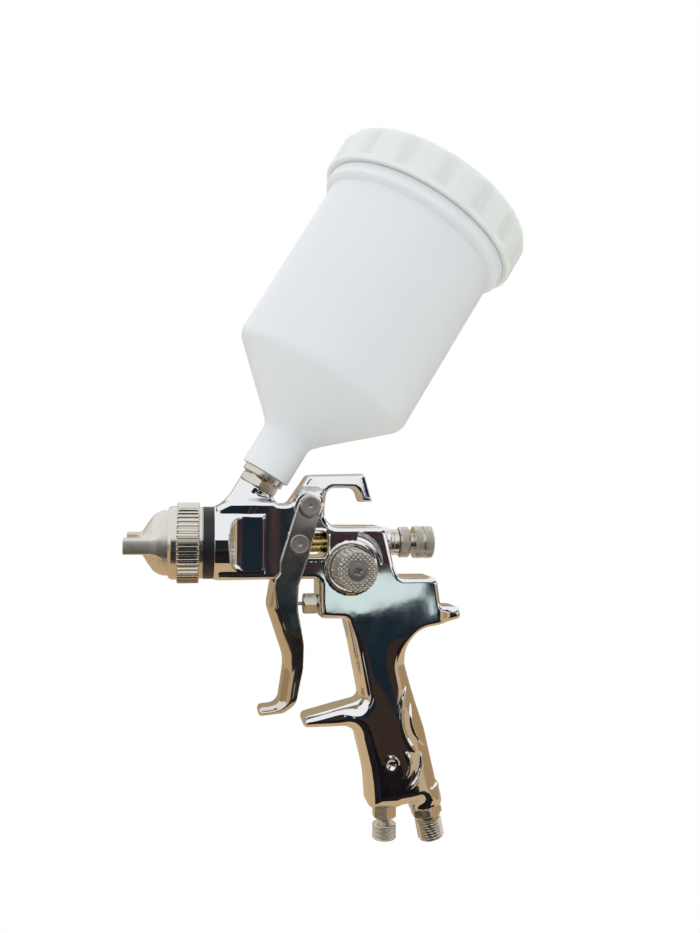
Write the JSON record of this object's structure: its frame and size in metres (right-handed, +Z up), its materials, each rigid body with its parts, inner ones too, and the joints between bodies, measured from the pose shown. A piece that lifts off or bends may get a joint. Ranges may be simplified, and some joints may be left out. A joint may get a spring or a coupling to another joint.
{
  "type": "hvlp spray gun",
  "caption": "Gravity-fed HVLP spray gun: chromed casting with hanging hook and grip, air cap, trigger, knurled control knobs and a tilted nylon cup with a screw lid.",
  "frame": {"origin": "middle of the air inlet's thread, on its axis", "axes": "+Z up with the nozzle level, nozzle towards -X, fan control knob towards -Y"},
  "size_m": [0.1958, 0.1068, 0.3511],
  "materials": {
    "chromed_casting": "polished, bright chrome plated",
    "chromed_trigger": "polished, bright chrome plated",
    "satin_nickel": "satin nickel plated",
    "steel_pin": "turned steel",
    "spring_steel": "drawn wire",
    "stainless": "ground stainless steel",
    "brass": "turned brass",
    "black_rubber": "matt",
    "white_seal": "ptfe",
    "cup_nylon": "milky translucent nylon",
    "lid_nylon": "milky translucent nylon, greener",
    "strainer_plastic": "moulded"
  },
  "bodies": {
    "gun": {"gun_body": "chromed_casting", "head_gasket": "black_rubber", "fluid_nozzle": "stainless", "air_baffle": "brass", "needle_packing": "white_seal", "packing_nut": "brass", "fluid_control_housing": "satin_nickel", "fan_valve_bush": "brass", "fan_valve_o_ring": "black_rubber", "trigger_pivot_pin": "steel_pin", "trigger_pivot_screw": "steel_pin", "air_valve_nut": "satin_nickel", "air_valve_packing": "white_seal", "air_valve_spring": "spring_steel", "cup_adapter": "satin_nickel", "air_inlet": "satin_nickel", "inlet_valve_gland": "satin_nickel", "inlet_valve_o_ring": "black_rubber", "needle_spring": "spring_steel"},
    "ring": {"air_cap_ring": "satin_nickel"},
    "cap": {"air_cap": "satin_nickel"},
    "needle": {"fluid_needle": "stainless", "needle_collar": "brass"},
    "trigger": {"trigger": "chromed_trigger", "trigger_cross_pin": "steel_pin"},
    "valve_stem": {"air_valve_stem": "stainless", "air_valve_poppet": "brass"},
    "fluid_spindle": {"fluid_spindle": "satin_nickel"},
    "fluid_knob": {"fluid_knob": "satin_nickel"},
    "lock_ring": {"fluid_lock_ring": "satin_nickel"},
    "fan_stem": {"fan_valve_stem": "brass"},
    "fan_knob": {"fan_knob": "satin_nickel", "fan_knob_screw": "steel_pin"},
    "flow_stem": {"inlet_valve_stem": "satin_nickel"},
    "flow_knob": {"inlet_valve_knob": "satin_nickel"},
    "cup": {"cup": "cup_nylon", "cup_strainer": "strainer_plastic"},
    "lid": {"cup_lid": "lid_nylon", "lid_gasket": "white_seal", "lid_vent_plug": "lid_nylon"}
  },
  "joints": [
    {"name": "trigger_pull", "type": "hinge", "parent": "gun", "child": "trigger", "pos_m": [-0.06369, 0, 0.1607], "axis": [0, -1, 0], "range_deg": [0, 7], "stiffness_Nm_per_rad": 2, "springref_deg": -17.19},
    {"name": "needle_slide", "type": "slide", "parent": "gun", "child": "needle", "axis": [1, 0, 0], "range_m": [0, 0.0024], "deforming": ["needle_spring"]},
    {"name": "valve_slide", "type": "slide", "parent": "gun", "child": "valve_stem", "axis": [1, 0, 0], "range_m": [0, 0.0062], "deforming": ["air_valve_spring"]},
    {"name": "cap_turn", "type": "hinge", "parent": "gun", "child": "cap", "pos_m": [-0.14189, 0, 0.1425], "axis": [-1, 0, 0], "range_deg": [-90, 90]},
    {"name": "ring_turn", "type": "hinge", "parent": "gun", "child": "ring", "pos_m": [-0.12189, 0, 0.1425], "axis": [-1, 0, 0], "continuous": true},
    {"name": "fluid_knob_turn", "type": "hinge", "parent": "fluid_spindle", "child": "fluid_knob", "pos_m": [-0.00389, 0, 0.1425], "axis": [1, 0, 0], "range_deg": [-720, 720]},
    {"name": "fluid_spindle_travel", "type": "slide", "parent": "gun", "child": "fluid_spindle", "axis": [1, 0, 0], "range_m": [-0.0021, 0.0021]},
    {"name": "lock_ring_turn", "type": "hinge", "parent": "gun", "child": "lock_ring", "pos_m": [-0.01389, 0, 0.1425], "axis": [1, 0, 0], "range_deg": [0, 90]},
    {"name": "fan_knob_turn", "type": "hinge", "parent": "fan_stem", "child": "fan_knob", "pos_m": [-0.04319, -0.022, 0.1307], "axis": [0, -1, 0], "range_deg": [-360, 720]},
    {"name": "fan_stem_travel", "type": "slide", "parent": "gun", "child": "fan_stem", "axis": [0, -1, 0], "range_m": [-0.0011, 0.0021]},
    {"name": "flow_knob_turn", "type": "hinge", "parent": "flow_stem", "child": "flow_knob", "pos_m": [-0.02329, 0, 0.0005], "axis": [0, 0, -1], "range_deg": [-720, 1080]},
    {"name": "flow_stem_travel", "type": "slide", "parent": "gun", "child": "flow_stem", "axis": [0, 0, -1], "range_m": [-0.0021, 0.0031]},
    {"name": "cup_lift", "type": "slide", "parent": "gun", "child": "cup", "axis": [0.5135, 0, 0.8581], "range_m": [0, 0.02]},
    {"name": "lid_lift", "type": "slide", "parent": "cup", "child": "lid", "axis": [0.5135, 0, 0.8581], "range_m": [0, 0.03]}
  ],
  "couplings": [
    {"joint": "needle_slide", "follows": "trigger_pull", "m_per_rad": 0.0182},
    {"joint": "valve_slide", "follows": "trigger_pull", "m_per_rad": 0.0475},
    {"joint": "fluid_spindle_travel", "follows": "fluid_knob_turn", "m_per_rad": 0.00015915},
    {"joint": "fan_stem_travel", "follows": "fan_knob_turn", "m_per_rad": 0.00015915},
    {"joint": "flow_stem_travel", "follows": "flow_knob_turn", "m_per_rad": 0.00015915}
  ]
}
